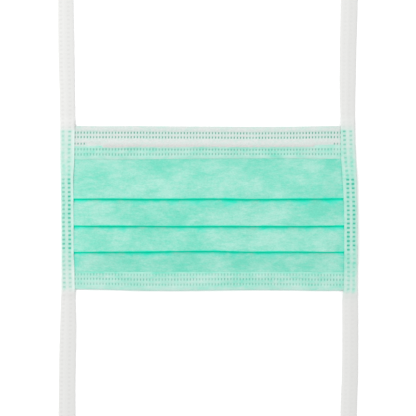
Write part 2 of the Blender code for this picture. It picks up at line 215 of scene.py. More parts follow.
# How far the edges and folds stray from straight, close to the solids: hundredths of EDGE_WAVE for
# the nose edge, the three folds and the chin edge.
WAVE_PLACES = [-0.9, -0.7, -0.47, -0.25, 0.01, 0.28, 0.55, 0.82]
WAVES = [
    [20, -12, 0, -30, -50, -67, -60, 0],
    [28, 68, 40, 36, 74, 18, 52, 70],
    [-6, -2, 0, -25, -20, -20, -25, -5],
    [8, 60, 65, 115, 142, 58, 78, 32],
    [60, 38, -60, -85, -53, -3, -27, -74],
]

# The nose band's lower edge and its hem of white over green, which stray from the nose edge's line:
# hundredths of a millimetre towards the nose, at shares of the half width.
SEAM_PLACES = [-0.78, -0.52, -0.25, 0.01, 0.28, 0.55, 0.78]
SEAM_SHIFTS = [-24, -33, 8, 28, 52, 45, 2]
HEM_SHIFTS = [17, 47, 46, 74, 92, 90, 76]

# The weld rows, and the height of each band's upper wall over its lower one, by the distance from the
# mask's edge: pinched at the rows, and raised over the wire.
TOP_ROWS = [3.85 * MM, 6.5 * MM, 13.7 * MM, 16.55 * MM]
TOP_DARKNESS = [0.74, 0.74, 0.69, 0.7]
SHORT_ROW = 10.45 * MM
BOTTOM_ROWS = [3.27 * MM, 6.15 * MM, 8.75 * MM]
BOTTOM_DARKNESS = [0.36, 0.44, 0.3]
TOP_HEIGHTS = MM * np.array([
    [0.3, 2.1, 3.85, 5.2, 6.5, 8.4, 9.7, 11.5, 13.2, 13.7, 15.1, 16.55, 18.0, 19.3],
    [0.48, 0.66, 0.4, 0.52, 0.42, 0.88, 1.18, 1.24, 1.16, 0.94, 1.02, 0.92, 0.92, 0.7],
])
BOTTOM_HEIGHTS = MM * np.array([
    [0.5, 1.9, 3.27, 4.7, 6.15, 7.45, 8.75, 9.7, 10.5],
    [0.94, 1.04, 0.92, 1.0, 0.92, 0.98, 0.92, 0.91, 0.76],
])

# A band's grid: steps on its walls and round its bend, places on each dash, the least gap of columns,
# and where they turn to follow the straps.
ROW_STEP, LOWER_ROW_STEP, BEND_STEPS = 0.55 * MM, 1.6 * MM, 8
DASH_ENDS = MM * np.array([-0.8, -0.5, 0.5, 0.8])
DASH_SIDES = MM * np.array([-0.47, -0.27, 0.27, 0.47])
LEAST_GAP = 0.1 * MM
MARGIN_FROM, MARGIN_RAMP = 0.44, 0.06
# The dashes' soft sides and ends, the pale gaps between them, and a band's thin cut edge.
DASH_SOFT, DASH_END_SOFT = 0.22 * MM, 0.3 * MM
GAP_FROM, GAP_END_SOFT = 0.25, 0.6 * MM
CUT_WIDTH, CUT_RAMP = 0.5 * MM, 0.4 * MM

# The nose band's shape: its second ply's hem, lower over the wire, the rise to that ply, the hump over
# the wire, with soft ends, and the part that follows the seam.
HEM, HEM_BY_WIRE, HEM_SOFT = 11.95 * MM, 0.85 * MM, 0.16 * MM
PLY_FROM, PLY_RAMP = 0.4 * MM, 0.8 * MM
WIRE_END_SOFT = 1.2 * MM
HUMP, HUMP_AT, HUMP_HALF = 0.45 * MM, 11 * MM, 2.3 * MM
SEAM_FROM, SEAM_RAMP = 13 * MM, 6 * MM

# The nose band's looks: green through two plies and what one adds, with streaks, tints by the edge
# and the first two rows, welds, the painted shade of a warm line over the wire, and pale gaps.
STREAK_SIZE, WELD_CLOUD_SIZE = 16 * MM, 7 * MM
TWO_PLIES, TWO_STREAK, ONE_PLY, ONE_STREAK = 0.06, 0.05, 0.665, 0.07
EDGE_TINT, EDGE_TINT_FADE, CUT_PALER = 0.08, 2.2 * MM, 0.12
ROWS_TINT, TINT_HALF, TINT_SOFT = (0.16, 0.11), 1.15 * MM, 1.4 * MM
NOSE_WELD_CLOUD, NOSE_WELD, NOSE_WELD_TWO, NOSE_WELD_SHORT = 0.2, 0.68, 0.32, 0.25
WIRE_SHADE_AT, WIRE_SHADE_HALF = 11.8 * MM, 2 * MM
NOSE_PALE, NOSE_PALE_TWO = 0.4, 0.5

# The chin band's looks: green with streaks, paler at the edge and deeper at the seam, welds and gaps.
CHIN_GREEN, CHIN_STREAK = 0.72, 0.07
CHIN_PALER, CHIN_PALER_FADE = 0.12, 2.6 * MM
CHIN_SEAM_GREEN, CHIN_SEAM_FROM, CHIN_SEAM_RAMP = 0.26, 8.3 * MM, 2.2 * MM
CHIN_WELD_CLOUD, CHIN_UNDER_WELD = 0.14, 0.4
CHIN_PALE, CHIN_PALE_SEAM = 0.45, 0.25

# How much paler the green cloth is at a Y in millimetres: more in the middle of each panel.
TONE_PLACES = [-36, -30, -24, -17, -12, -6, 0, 7, 15, 24, 29]
TONES = [0.02, 0.03, 0.11, 0.17, 0.06, 0.0, 0.04, 0.13, 0.17, 0.08, 0.0]

# The green's sides: paler by the left strap, more so below the first fold, and denser by the right
# strap between the lower folds.
SIDE_TONE_FADE = 9 * MM
LEFT_TONE, LEFT_TONE_BELOW, RIGHT_TONE = 0.22, 0.13, 0.11
LOWER_HALF, LOWER_RAMP = 18 * MM, 6 * MM

# A paler crumple low by the left strap, and a denser place by the right strap under the first fold:
# place, half size and how much paler.
CRUMPLE_Y = -32.3 * MM
PATCHES = [
    (-71.5 * MM, CRUMPLE_Y, 4.2 * MM, 2.6 * MM, 0.45),
    (66 * MM, 0.0, 17 * MM, 6 * MM, -0.26),
]

# Painted shade: deeper green along the straps' edges, and a wider line of it by the crumple.
STRAP_SHADE_GREEN, STRAP_SHADE_FADE = 0.1, 0.4 * MM
CRUMPLE_SHADE_GREEN, CRUMPLE_FADE = 0.18, 1.4 * MM
CRUMPLE_HALF, CRUMPLE_SOFT = 4 * MM, 3 * MM

# The folds' deep green, partly the layers' own colour and partly painted shade: how far below each
# it fades, how far up the rounded edge it reaches, and the clouds that spread it: strength, size and
# start.
FOLD_SHADE_FADES = [1.7 * MM, 1.5 * MM, 1.3 * MM]
FOLD_SHADE_POWER = 1.75
FOLD_SHADE_RISE, FOLD_SHADE_SOFT = 0.27 * MM, 0.54 * MM
FOLD_SHADE_CLOUDS = [(0.85, 13 * MM, 1.3), (0.55, 5 * MM, 6.1)]
SPREAD_LIMITS = (0.5, 2.2)
SPREAD_POWER = -1.5

# The body in the bands: its gaps to the wire, to the chin band's cut edge and to the chin edge.
WIRE_ROOM, SEAM_ROOM, CHIN_ROOM = 0.3 * MM, 0.3 * MM, 0.95 * MM
# A hidden layer comes out this far above a fold's edge, and lies flat to this far below it.
MOUTH, FLAT_BELOW = 0.4 * MM, 4.2 * MM
# Steps along the body's parts, and across its margins, ramps and middle.
LAYER_STEPS, FOLD_STEPS, TURN_STEPS, CHIN_STEPS = 4, 12, 8, 6
FIRST_PANEL_STEPS, PANEL_STEPS, FLAT_STEPS = 36, 24, 18
LAST_PANEL_STEPS = (18, 14, 0.4)
BODY_COLUMNS = (6, 10, 112, 10, 6)

# Colours: linear red, green and blue.
GREEN_DENSE = (0.152, 0.605, 0.457)
GREEN_THIN = (0.35, 0.662, 0.56)
# Below the folds: the layers' deeper green, mixed with painted shade.
GREEN_DEEP_AND_SHADE = (0.01, 0.62, 0.465)
# The folds' core: the layers' deep green, brightened with painted light against the fold's shade.
GREEN_FOLD_CORE_PAINTED = (0.0, 0.73, 0.47)
# Painted light that lifts the cloth where the folds shade it.
FOLD_PAINTED_LIGHT = (0.2, 0.8, 0.63)
GREEN_UNDER = (0.14, 0.61, 0.455)
WELD_GREEN = (0.03, 0.4, 0.28)
BAND_WELD = (0.03, 0.27, 0.185)
PALE_MINT = (0.46, 0.75, 0.66)
# Painted light on the left strap's inner edge.
INNER_EDGE_PAINTED_LIGHT = (0.6, 0.84, 0.77)
WHITE = (0.615, 0.655, 0.635)
STRAP_WHITE = (0.69, 0.69, 0.678)
# The straps' mottle and their painted shade.
STRAP_MOTTLE_AND_SHADE_GREY = (0.585, 0.585, 0.575)
# Painted shade over the wire.
WIRE_SHADE_WHITE = (0.575, 0.562, 0.55)
LINING = (0.7, 0.71, 0.7)
WIRE_WHITE = (0.72, 0.71, 0.7)
DIP_GREY = (0.45, 0.45, 0.44)
BLACK = (0.0, 0.0, 0.0)
FLOOR = (0.93, 0.93, 0.93)

# The materials: cloth's dullness between threads, the ranges of noise, sheen and gloss, the grain, and
# how much the pale gaps lift a colour, and how much painted light the folds add.
DULL, BAND_DULL = 0.95, 0.955
THREADS, MIDDLE = (0.45, 0.8), (0.3, 0.7)
SHEEN_ROUGHNESS, GLOSS, GREEN_GLOSS = 0.6, 0.25, 0.08
GRAIN, GREEN_GRAIN, BAND_GRAIN = 1300, 0.1, 0.11
PALE_SHARE, FOLD_LIGHT_SHARE = 0.45, 0.7
# The fibres' noises: patches a metre, stretch, turn and offset. The bumps: strength and height.
FIBRES = [(900, (1, 9, 1), 0.35, 0.0), (900, (1, 9, 1), -0.75, 0.3), (750, (7, 1, 1), 0.15, 0.7)]
FIBRE_BUMP, BOND_BUMP, WIRE_BUMP = (0.35, 0.06 * MM), (0.25, 0.12 * MM), (0.1, 0.05 * MM)

# The table, the white surround and the lamp.
TABLE_HALF, TABLE_DROP = 1.5, 0.02 * MM
SURROUND = 1.03
LAMP_PLACE, LAMP_SIZE, LAMP_WATTS = (-0.75, 0.85, 1.0), 0.9, 9.2


def ease(share):
    """A smooth step from 0 to 1."""
    held = np.clip(share, 0.0, 1.0)
    return held * held * (3 - 2 * held)


def curve_at(places, values, x):
    """A smooth curve through a table's points, which never overshoots them."""
    places, values = np.asarray(places, float), np.asarray(values, float)
    slopes = np.diff(values) / np.diff(places)
    tangents = np.zeros(len(places))
    same = slopes[:-1] * slopes[1:] > 0
    both = np.where(same, slopes[:-1] + slopes[1:], 1.0)
    tangents[1:-1] = np.where(same, 2 * slopes[:-1] * slopes[1:] / both, 0.0)
    held = np.clip(x, places[0], places[-1])
    row = np.clip(np.searchsorted(places, held, side="right") - 1, 0, len(places) - 2)
    span = places[row + 1] - places[row]
    t = (held - places[row]) / span
    bend = (t**3 - 2 * t**2 + t) * tangents[row] + (t**3 - t**2) * tangents[row + 1]
    return values[row] + (values[row + 1] - values[row]) * ease(t) + bend * span


def table_at(places, row, x):
    """A smooth curve through a row of hundredths."""
    return curve_at(places, np.array(row) / 100, x)


def cloud(x, y, size, seed, depth=2):
    """Smooth noise over the cloth, about -1 to 1, in patches of a size."""
    flat = zip((np.asarray(x) / size).ravel().tolist(), (np.asarray(y) / size).ravel().tolist())
    found = [noise.fractal(Vector((a, b, seed)), CLOUD_DECAY, CLOUD_STEP, depth) for a, b in flat]
    return np.array(found).reshape(np.shape(x))


def tie_edges(side, y):
    """The X of a strap's outer and inner edge: the side is -1 on the left and 1 on the right."""
    table = LEFT_TIE if side < 0 else RIGHT_TIE
    past = np.maximum(np.abs(y) - NOSE_EDGE, 0) / TIE_END
    run = np.sign(y) * (np.minimum(np.abs(y) / NOSE_EDGE, 1) + past)
    runs = np.array(table["run"]) / 100
    outer = HALF_WIDTH - TIE_SWAY * table_at(runs, table["sway"], run)
    inner = outer - TIE_WIDTH * table_at(runs, table["width"], run)
    return side * outer, side * inner


def wave(x, y):
    """How far the cloth at a place is shifted in Y by the crooked edges and folds."""
    shifts = [table_at(WAVE_PLACES, row, x / HALF_WIDTH) for row in WAVES]
    total = shifts[0]
    for above, below, first, last in zip(WAVE_LINES, WAVE_LINES[1:], shifts, shifts[1:]):
        share = np.clip((above - y) / (above - below), 0, 1)
        total = np.where(y < above, first + (last - first) * share, total)
    return EDGE_WAVE * total


def side_marks(y):
    """The body's side edges, where it is pressed, and where it is at full height again."""
    marks = []
    for side in (-1, 1):
        outer, inner = tie_edges(side, y)
        edge = outer - side * MARGIN
        lip = inner - side * PRESS_LIP
        full = lip - side * PRESS_RAMP
        marks.extend([edge, lip, full] if side < 0 else [full, lip, edge])
    return marks


def pressed_at(x, y):
    """1 where a strap presses the cloth, easing to 0 where it is at full height."""
    marks = side_marks(y)
    left = ease((marks[2] - x) / (marks[2] - marks[1]))
    right = ease((x - marks[3]) / (marks[4] - marks[3]))
    return np.maximum(left, right)


def pressed_cloth(x, y, thickness):
    """A cloth's thickness, which is pressed thin with the layers under the straps."""
    return thickness * (1 + (CLOTH_PRESS - 1) * pressed_at(x, y))


def settled(x, y, z):
    """Flat mask coordinates, with the pressed sides and the slight waves of lying cloth."""
    pressed = pressed_at(x, y)
    lift = (STRAP_CLOTH + AIR) * pressed
    puff = 1 + PUFF * (1 - pressed) * cloud(x, y, PUFF_SIZE, seed=3.1)
    crumple = 1 + CRUMPLING * (1 - pressed) * cloud(x, y, CRUMPLING_SIZE, seed=7.7, depth=3)
    height = lift + z * (1 + (SIDE_PRESS - 1) * pressed) * puff * crumple
    return np.stack([x, y + wave(x, y), height], axis=-1)


def fold_slope():
    """The angle at which the pleats' layers lie on each other."""
    slope = 4 * FOLD_RADIUS / PLEAT_PITCH
    for _ in range(8):
        rise = math.sin(math.atan(slope))
        slope = 4 * FOLD_RADIUS / (PLEAT_PITCH - 4 * FOLD_RADIUS * rise)
    return math.atan(slope)


def fold_height():
    """The height of a visible fold's circle over the hidden one's."""
    slope = fold_slope()
    back = PLEAT_DEPTH - 2 * FOLD_OUTSIDE + 2 * FOLD_RADIUS * math.sin(slope)
    return 2 * FOLD_RADIUS * math.cos(slope) + back * math.tan(slope)


def straight(start, end, places):
    """Points of a cross-section on a line, at shares of its length."""
    return [(start[0] + (end[0] - start[0]) * t, start[1] + (end[1] - start[1]) * t) for t in places]


def bent(start, start_slope, end, end_slope, places):
    """A cubic between two points of a cross-section, with a slope at each."""
    span = end[0] - start[0]
    spots = []
    for t in places:
        lead = (t**3 - 2 * t**2 + t) * span * start_slope + (t**3 - t**2) * span * end_slope
        height = start[1] + (end[1] - start[1]) * t * t * (3 - 2 * t) + lead
        spots.append((start[0] + span * t, height))
    return spots


def arc(centre, radius, start, turn, steps):
    """Points of a cross-section on an arc, from a start angle through a turn."""
    angles = [start + turn * step / steps for step in range(steps + 1)]
    return [(centre[0] + radius * math.cos(a), centre[1] + radius * math.sin(a)) for a in angles]


def even(steps, first=0.0):
    """Places from a first one to 1, in even steps."""
    return [first + (1 - first) * step / steps for step in range(steps + 1)]


def graded(fine, coarse, share):
    """Places from 0 to 1, fine over the first share of the way and coarse over the rest."""
    return [share * step / fine for step in range(fine)] + even(coarse, share)


def body_path():
    """The body's middle line in Y and Z from the nose down, and how deep in a fold each point is.

    The deep green and painted shade of a fold is 1 out of sight in it, and fades out along the panel
    below it.
    """
    slope = fold_slope()
    grade = math.tan(slope)
    top_of_turn = math.pi / 2 - slope
    height = FOLD_OUTSIDE + fold_height()
    nose_seam = NOSE_EDGE - TOP_BAND
    chin_seam = CHIN_EDGE + BOTTOM_BAND + EDGE_INSET + SEAM_ROOM
    nose_end = NOSE_EDGE - WIRE_FROM_EDGE - WIRE_WIDTH - WIRE_ROOM
    chin_end = CHIN_EDGE + EDGE_INSET + CHIN_ROOM
    spots = straight((nose_end, BODY_IN_BAND), (nose_seam, BODY_IN_BAND), even(LAYER_STEPS))
    fold_greens_and_shades = [0.0] * len(spots)
    above, fade = math.inf, FOLD_SHADE_FADES[0]
    for pleat, line in enumerate(PLEAT_LINES):
        fold = arc((line + FOLD_OUTSIDE, height), FOLD_RADIUS, top_of_turn, math.pi, FOLD_STEPS)
        back = arc((line + PLEAT_DEPTH - FOLD_OUTSIDE, FOLD_OUTSIDE), FOLD_RADIUS, top_of_turn,
                   -math.pi, TURN_STEPS)
        start_grade, steps = (-grade, PANEL_STEPS) if pleat else (0.0, FIRST_PANEL_STEPS)
        visible = bent(spots[-1], start_grade, fold[0], -grade, even(steps))
        spots += visible[1:-1] + fold
        fold_greens_and_shades += [max(green_and_shade_below_fold(above, y, fade), green_and_shade_on_fold(line, y))
                    for y, _ in visible[1:-1] + fold]
        fade = FOLD_SHADE_FADES[pleat]
        spots += straight(fold[-1], back[0], even(LAYER_STEPS))[1:-1] + back
        fold_greens_and_shades += [1.0] * (LAYER_STEPS - 1 + len(back))
        mouth = (line + MOUTH, back[-1][1] + (back[-1][0] - line - MOUTH) * grade)
        hidden = straight(back[-1], mouth, even(LAYER_STEPS))[1:]
        if pleat == PLEAT_COUNT - 1:
            fall = bent(mouth, -grade, (chin_seam, BODY_IN_BAND), 0.0, graded(*LAST_PANEL_STEPS))
        else:
            below = (line - FLAT_BELOW, mouth[1] + (MOUTH + FLAT_BELOW) * grade)
            fall = straight(mouth, below, even(FLAT_STEPS))
        fresh = hidden + fall[1:]
        spots += fresh
        fold_greens_and_shades += [green_and_shade_below_fold(line, y, fade) for y, _ in fresh]
        above = line
    spots += straight(spots[-1], (chin_end, BODY_IN_BAND), even(CHIN_STEPS))[1:]
    fold_greens_and_shades += [0.0] * CHIN_STEPS
    return np.array(spots), np.array(fold_greens_and_shades)


def green_and_shade_below_fold(line, y, fade):
    """How deep the green and the painted shade are at a Y below a fold's edge: full under the fold, then
    fading.
    """
    below = max(line - y, 0.0)
    return math.exp(-((below / fade) ** FOLD_SHADE_POWER))


def green_and_shade_on_fold(line, y):
    """How deep the green and the painted shade are on a fold's rounded edge, by the distance above the
    edge.
    """
    return float(1 - ease((y - line - FOLD_SHADE_RISE) / FOLD_SHADE_SOFT))


def make_mesh(name, points, faces, materials, marks=None, indices=None):
    """A mesh object from arrays, with named float attributes on its points."""
    mesh = bpy.data.meshes.new(name)
    mesh.from_pydata(points.reshape(-1, 3).tolist(), [], faces)
    for material in materials:
        mesh.materials.append(material)
    for mark, values in (marks or {}).items():
        attribute = mesh.attributes.new(mark, "FLOAT", "POINT")
        attribute.data.foreach_set("value", np.asarray(values, np.float32).ravel())
    if indices is not None:
        mesh.polygons.foreach_set("material_index", np.asarray(indices, np.int32))
    mesh.shade_smooth()
    mesh.set_sharp_from_angle(angle=SHARP_ANGLE)
    piece = bpy.data.objects.new(name, mesh)
    bpy.context.scene.collection.objects.link(piece)
    return piece


def thick_sheet(name, middle, thickness, marks, materials, flip=()):
    """A closed sheet of cloth about a grid of middle points, with its front along the grid's normal.

    The front and the cut edges take the first material, and the back takes the second. The grid is
    flipped along the axes that are given.
    """
    middle, thickness = np.flip(middle, flip), np.flip(thickness, flip)
    marks = {mark: np.flip(values, flip) for mark, values in marks.items()}
    rows, columns = middle.shape[:2]
    normal = np.cross(np.gradient(middle, axis=0), np.gradient(middle, axis=1))
    normal /= np.linalg.norm(normal, axis=-1, keepdims=True)
    half = thickness[..., None] / 2
    points = np.concatenate([(middle + normal * half).reshape(-1, 3),
                             (middle - normal * half).reshape(-1, 3)])
    place = np.arange(rows * columns).reshape(rows, columns)
    a, b = place[:-1, :-1].ravel(), place[1:, :-1].ravel()
    c, d = place[1:, 1:].ravel(), place[:-1, 1:].ravel()
    front = np.stack([a, b, c, d], axis=1)
    back = front[:, ::-1] + rows * columns
    loop = np.concatenate([place[:, 0], place[-1, 1:], place[-2::-1, -1], place[0, -2:0:-1]])
    after = np.roll(loop, -1)
    rim = np.stack([after, loop, loop + rows * columns, after + rows * columns], axis=1)
    faces = np.concatenate([front, back, rim])
    indices = np.concatenate([np.zeros(len(front)), np.ones(len(back)), np.zeros(len(rim))])
    doubled = {mark: np.tile(values.ravel(), 2) for mark, values in marks.items()}
    return make_mesh(name, points, faces.tolist(), materials, doubled, indices)


def body_columns(y, counts):
    """X places across the body at each Y: even steps in the margins, the ramps and the middle."""
    marks = side_marks(y)
    columns = []
    for low, high, count in zip(marks, marks[1:], counts):
        columns += [low + (high - low) * step / count for step in range(count)]
    columns.append(marks[-1])
    return np.stack(columns)


def make_body(materials):
    """The pleated green body with its white lining, and the length of its folded middle line."""
    path, fold_green_and_shade = body_path()
    x = body_columns(path[:, 0], BODY_COLUMNS)
    y, z = (np.broadcast_to(row, x.shape) for row in path.T)
    middle = settled(x, y, z)
    middle[..., 2] = np.maximum(middle[..., 2], BODY_CLOTH / 2)
    marks = side_marks(y)
    by_strap = np.minimum(x - marks[1], marks[4] - x) - PRESS_LIP
    # Painted shade: deeper green on the body along the straps' inner edges, wider by the crumple.
    strap_and_crumple_shade = STRAP_SHADE_GREEN * np.exp(-np.maximum(by_strap, 0) / STRAP_SHADE_FADE)
    by_crumple = np.exp(-np.maximum(x - marks[1], 0) / CRUMPLE_FADE)
    strap_and_crumple_shade = strap_and_crumple_shade + CRUMPLE_SHADE_GREEN * by_crumple * soft_box(y - CRUMPLE_Y, CRUMPLE_HALF, CRUMPLE_SOFT)
    spread = 1
    for strength, size, seed in FOLD_SHADE_CLOUDS:
        spread = spread + strength * cloud(x, y / 2, size, seed)
    spread = np.clip(spread, *SPREAD_LIMITS)
    shade = np.clip(np.maximum(fold_green_and_shade ** (spread ** SPREAD_POWER), strap_and_crumple_shade), 0, 1)
    by_left = np.exp(-np.maximum(x - marks[1], 0) / SIDE_TONE_FADE)
    by_right = np.exp(-np.maximum(marks[4] - x, 0) / SIDE_TONE_FADE)
    lower = ease((LOWER_HALF - y) / LOWER_RAMP)
    middle_part = lower * ease((y + LOWER_HALF) / LOWER_RAMP)
    tone = curve_at(TONE_PLACES, TONES, path[:, 0] / MM)
    tone = tone + (LEFT_TONE + LEFT_TONE_BELOW * lower) * by_left - RIGHT_TONE * middle_part * by_right
    for across, along, wide, high, paler in PATCHES:
        tone = tone + paler * np.exp(-(((x - across) / wide) ** 2 + ((y - along) / high) ** 2))
    marks = {"fold_green_and_shade": shade, "tone": tone}
    body = thick_sheet("mask_body", middle, pressed_cloth(x, y, BODY_CLOTH), marks, materials, 1)
    length = np.linalg.norm(np.diff(path, axis=0), axis=1).sum()
    return body, float(length)


def repeat_columns(first, pitch, offsets, low, high):
    """Places from low to high that fall on the same spots of every mark in a row of marks."""
    start = math.floor((low - first) / pitch)
    stop = math.ceil((high - first) / pitch)
    places = [first + pitch * step + offset for step in range(start, stop + 1) for offset in offsets]
    return np.array([low, *(p for p in places if low + LEAST_GAP < p < high - LEAST_GAP), high])


def soft_box(distance, half, soft):
    """1 inside a half width, easing to 0 at its edge."""
    return ease((half + soft / 2 - np.abs(distance)) / soft)


def in_rows(from_edge, rows, soft):
    """1 inside any of a band's weld rows, which lie at distances from the mask's edge."""
    return np.maximum.reduce([soft_box(from_edge - row, DASH_LENGTH / 2, soft) for row in rows])


def dash_marks(x, from_edge, rows, first, pitch):
    """How deep in a weld dash a place is, from 0 to 1."""
    step = np.clip(np.round((x - first) / pitch), 0, DASH_COUNT - 1)
    along = soft_box(x - first - step * pitch, DASH_WIDTH / 2, DASH_SOFT)
    return along * in_rows(from_edge, rows, DASH_END_SOFT)


def gap_marks(x, from_edge, rows, first, pitch):
    """1 in the middle of the gaps between the dashes of a row."""
    away = np.abs((x - first) / pitch - np.round((x - first) / pitch))
    return in_rows(from_edge, rows, GAP_END_SOFT) * ease((away - GAP_FROM) / GAP_FROM)


def row_places(rows, low, high, step):
    """Distances from low to high: on the dashes' ends, and about a step apart between them."""
    fixed = sorted({low, high, *(row + offset for row in rows for offset in DASH_ENDS)})
    fixed = [place for place in fixed if low <= place <= high]
    places = [fixed[0]]
    for start, end in zip(fixed, fixed[1:]):
        count = max(1, round((end - start) / step))
        places += [start + (end - start) * part / count for part in range(1, count + 1)]
    return places


def band_grid(edge, inward, width, heights, rows, first, pitch):
    """The middle of a turned band, as flat points and distances from the mask's edge, with its welds.

    The path runs from the lower wall's free edge round the mask's edge to the upper wall's.
    """
    base = BAND_CLOTH / 2
    turn = heights[1][0] / 2
    lower_places = reversed(row_places(rows, turn, width, LOWER_ROW_STEP))
    path = [(distance, base, 0.0) for distance in lower_places]
    arc_spots = arc((turn, base + turn), turn, -math.pi / 2, -math.pi, BEND_STEPS)[1:-1]
    path += [(distance, height, 1.0) for distance, height in arc_spots]
    path += [(distance, None, 1.0) for distance in row_places(rows, turn, width, ROW_STEP)]
    from_edge = np.array([spot[0] for spot in path])
    lift = curve_at(*heights, from_edge)
    z = np.array([base + rise if spot[1] is None else spot[1] for spot, rise in zip(path, lift)])
    upper_wall = np.array([spot[2] for spot in path])
    y_line = edge + inward * (from_edge + EDGE_INSET)
    low, high = side_marks(y_line)[0], side_marks(y_line)[-1]
    steady = repeat_columns(first, pitch, (*DASH_SIDES, pitch / 2), low.max(), high.min())
    share = (steady - low.max()) / (high.min() - low.max())
    margin = ease((np.abs(share - 0.5) - MARGIN_FROM) / MARGIN_RAMP)
    spread = low[None, :] + (high - low)[None, :] * share[:, None]
    x = steady[:, None] + (spread - steady[:, None]) * margin[:, None]
    y, z, from_edge, upper = (np.broadcast_to(row, x.shape)
                              for row in (y_line, z, from_edge, upper_wall))
    dash = dash_marks(x, from_edge, rows, first, pitch)
    return x, y, z, from_edge, upper, dash, gap_marks(x, from_edge, rows, first, pitch)


def weld_thin(mark, upper):
    """A share of the cloth's thickness: the welds press the lower wall thin."""
    return 1 - UNDER_THIN * mark * (1 - upper)


def weld_show(upper, least=UNDER_WELD):
    """How much of the green a weld shows: little on the white back."""
    return least + (1 - least) * upper


def near_cut(from_edge, band):
    """1 along a band's cut edge, where its cloth is thin."""
    return ease((from_edge - band + CUT_WIDTH) / CUT_RAMP)


def band_thickness(x, y, cloth, cut, dash, upper):
    """A band's thickness: less under the straps, at its cut edge and in its lower wall's welds."""
    return pressed_cloth(x, y, cloth) * (1 - EDGE_THIN * cut) * weld_thin(dash, upper)


def make_top_band(materials):
    """The lining turned over the nose edge: two plies down to the wire, then one over the green."""
    x, y, z, from_edge, upper, dash, gap = band_grid(NOSE_EDGE, -1, TOP_BAND, TOP_HEIGHTS, TOP_ROWS,
                                                     TOP_FIRST, TOP_PITCH)
    short = dash_marks(x, from_edge, [SHORT_ROW], TOP_FIRST, TOP_PITCH) * (np.abs(x) > SHORT_ROW_FROM)
    dash = np.maximum(dash, short)
    over_wire = ease((WIRE_LENGTH / 2 + WIRE_END_SOFT / 2 - np.abs(x)) / WIRE_END_SOFT)
    place = x / HALF_WIDTH
    hem = HEM + HEM_BY_WIRE * over_wire - MM * table_at(SEAM_PLACES, HEM_SHIFTS, place)
    y = y + MM * table_at(SEAM_PLACES, SEAM_SHIFTS, place) * ease((from_edge - SEAM_FROM) / SEAM_RAMP)
    double = ease((hem - from_edge) / HEM_SOFT + 0.5)
    rise = BAND_STEP * double * (upper > 0.5) * ease((from_edge - PLY_FROM) / PLY_RAMP)
    wire_gap = (1 - over_wire) * HUMP * ease(1 - np.abs(from_edge - HUMP_AT) / HUMP_HALF)
    height = z - wire_gap * upper + rise / 2 - DASH_DEPTH * dash * upper
    middle = settled(x, y, height)
    cut = near_cut(from_edge, TOP_BAND)
    thickness = band_thickness(x, y, BAND_CLOTH + rise, cut, dash, upper)
    streak = cloud(x, y, STREAK_SIZE, seed=5.5)
    green = TWO_PLIES + TWO_STREAK * streak + (ONE_PLY + ONE_STREAK * streak) * (1 - double)
    edge_tint = EDGE_TINT * ease(1 - from_edge / EDGE_TINT_FADE)
    rows_tint = np.maximum.reduce([tint * soft_box(from_edge - row, TINT_HALF, TINT_SOFT)
                                   for row, tint in zip(TOP_ROWS, ROWS_TINT)])
    darkness = (curve_at(TOP_ROWS, TOP_DARKNESS, from_edge)
                + NOSE_WELD_CLOUD * cloud(x, y, WELD_CLOUD_SIZE, seed=9.2))
    weight = NOSE_WELD + NOSE_WELD_TWO * double + NOSE_WELD_SHORT * short
    # Painted shade: a warm grey line over the wire.
    wire_shaded = ease(1 - np.abs(from_edge - WIRE_SHADE_AT) / WIRE_SHADE_HALF)
    marks = {
        "green": np.clip(green + edge_tint + rows_tint * double - CUT_PALER * cut, 0, 1) * upper,
        "weld": dash * darkness * weight * weld_show(upper),
        "wire_shaded": double * over_wire * wire_shaded * upper,
        "pale": (NOSE_PALE + NOSE_PALE_TWO * double) * gap * upper,
    }
    return thick_sheet("nose_band", middle, thickness, marks, materials, 1)


def make_bottom_band(materials):
    """The lining turned over the chin edge, one ply over the green."""
    x, y, z, from_edge, upper, dash, gap = band_grid(CHIN_EDGE, 1, BOTTOM_BAND, BOTTOM_HEIGHTS,
                                                     BOTTOM_ROWS, BOTTOM_FIRST, BOTTOM_PITCH)
    middle = settled(x, y, z - DASH_DEPTH * dash * upper)
    cut = near_cut(from_edge, BOTTOM_BAND)
    thickness = band_thickness(x, y, BAND_CLOTH, cut, dash, upper)
    by_seam = ease((from_edge - CHIN_SEAM_FROM) / CHIN_SEAM_RAMP)
    streak = cloud(x, y, STREAK_SIZE, seed=8.5)
    edge = ease(1 - from_edge / CHIN_PALER_FADE)
    green = CHIN_GREEN + CHIN_STREAK * streak - CHIN_PALER * edge + CHIN_SEAM_GREEN * by_seam
    darkness = (curve_at(BOTTOM_ROWS, BOTTOM_DARKNESS, from_edge)
                + CHIN_WELD_CLOUD * cloud(x, y, WELD_CLOUD_SIZE, seed=2.2))
    marks = {
        "green": np.clip(green, 0, 1) * upper,
        "weld": dash * darkness * weld_show(upper, CHIN_UNDER_WELD),
        "wire_shaded": np.zeros(x.shape),
        "pale": gap * (CHIN_PALE + CHIN_PALE_SEAM * by_seam) * upper,
    }
    return thick_sheet("chin_band", middle, thickness, marks, materials)


